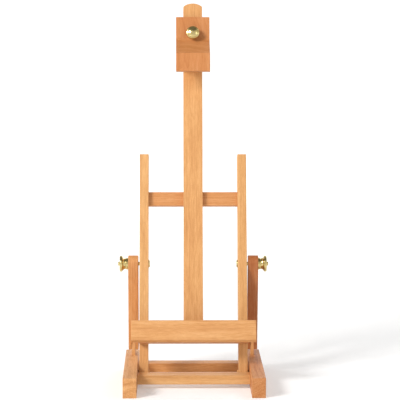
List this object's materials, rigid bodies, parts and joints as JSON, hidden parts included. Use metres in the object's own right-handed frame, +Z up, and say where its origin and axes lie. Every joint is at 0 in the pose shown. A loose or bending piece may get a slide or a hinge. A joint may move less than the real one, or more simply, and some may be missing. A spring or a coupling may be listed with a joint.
{
  "type": "tabletop easel",
  "caption": "Tabletop easel in beech: a leaning H-frame with a canvas tray, a central mast with a sliding canvas clamp, forked side struts and brass knobs.",
  "frame": {"origin": "on the table, under the middle of the whole easel's bounding box", "axes": "+Z up; -Y is the front, the side the painter sees; +X is the painter's right"},
  "size_m": [0.2516, 0.2861, 0.6236],
  "materials": {
    "beech": "planed and oiled",
    "dowel": "planed, bare",
    "brass": "polished and lacquered",
    "steel": "zinc plated"
  },
  "bodies": {
    "base": {"left_foot": "beech", "right_foot": "beech", "front_rail": "beech", "rear_rail": "beech", "rail_dowels": "dowel", "left_tongue": "beech", "right_tongue": "beech", "left_pivot_dowel": "dowel", "right_pivot_dowel": "dowel"},
    "frame": {"left_post": "beech", "right_post": "beech", "crossbar": "beech", "crossbar_dowels": "dowel", "crossbar_screws": "steel", "mast": "beech", "mast_foot_screws": "steel", "tray_ledge": "beech", "tray_lip": "beech", "lip_dowels": "dowel", "tray_screws": "steel"},
    "left_strut": {"left_strut": "beech", "left_strut_pin": "steel", "left_bolt": "brass", "left_washer": "brass"},
    "right_strut": {"right_strut": "beech", "right_strut_pin": "steel", "right_bolt": "brass", "right_washer": "brass"},
    "left_knob": {"left_knob": "brass"},
    "right_knob": {"right_knob": "brass"},
    "clamp": {"clamp_block": "beech", "clamp_keeper": "beech", "keeper_screws": "brass", "clamp_insert": "brass"},
    "clamp_knob": {"clamp_knob": "brass", "clamp_screw": "steel"}
  },
  "joints": [
    {"name": "frame_tilt", "type": "hinge", "parent": "base", "child": "frame", "pos_m": [0, -0.03014, 0.0165], "axis": [-1, 0, 0], "range_deg": [-7.8, 20.2]},
    {"name": "left_strut_swing", "type": "hinge", "parent": "base", "child": "left_strut", "pos_m": [-0.1002, 0.03886, 0.053], "axis": [-1, 0, 0], "range_deg": [-11.4, 29.5]},
    {"name": "right_strut_swing", "type": "hinge", "parent": "base", "child": "right_strut", "pos_m": [0.1002, 0.03886, 0.053], "axis": [-1, 0, 0], "range_deg": [-11.4, 29.5]},
    {"name": "left_knob_turn", "type": "hinge", "parent": "left_strut", "child": "left_knob", "pos_m": [-0.115, 0.01922, 0.19095], "axis": [-1, 0, 0], "range_deg": [0, 540]},
    {"name": "right_knob_turn", "type": "hinge", "parent": "right_strut", "child": "right_knob", "pos_m": [0.115, 0.01922, 0.19095], "axis": [1, 0, 0], "range_deg": [0, 540]},
    {"name": "clamp_slide", "type": "slide", "parent": "frame", "child": "clamp", "axis": [0, 0.2723, 0.9622], "range_m": [-0.21, 0.02]},
    {"name": "clamp_knob_turn", "type": "hinge", "parent": "clamp", "child": "clamp_knob", "pos_m": [0, 0.09646, 0.57409], "axis": [0, -0.9622, 0.2723], "range_deg": [0, 540]}
  ],
  "couplings": [
    {"joint": "left_strut_swing", "follows": "frame_tilt", "ratio": 1.456},
    {"joint": "right_strut_swing", "follows": "frame_tilt", "ratio": 1.456}
  ]
}
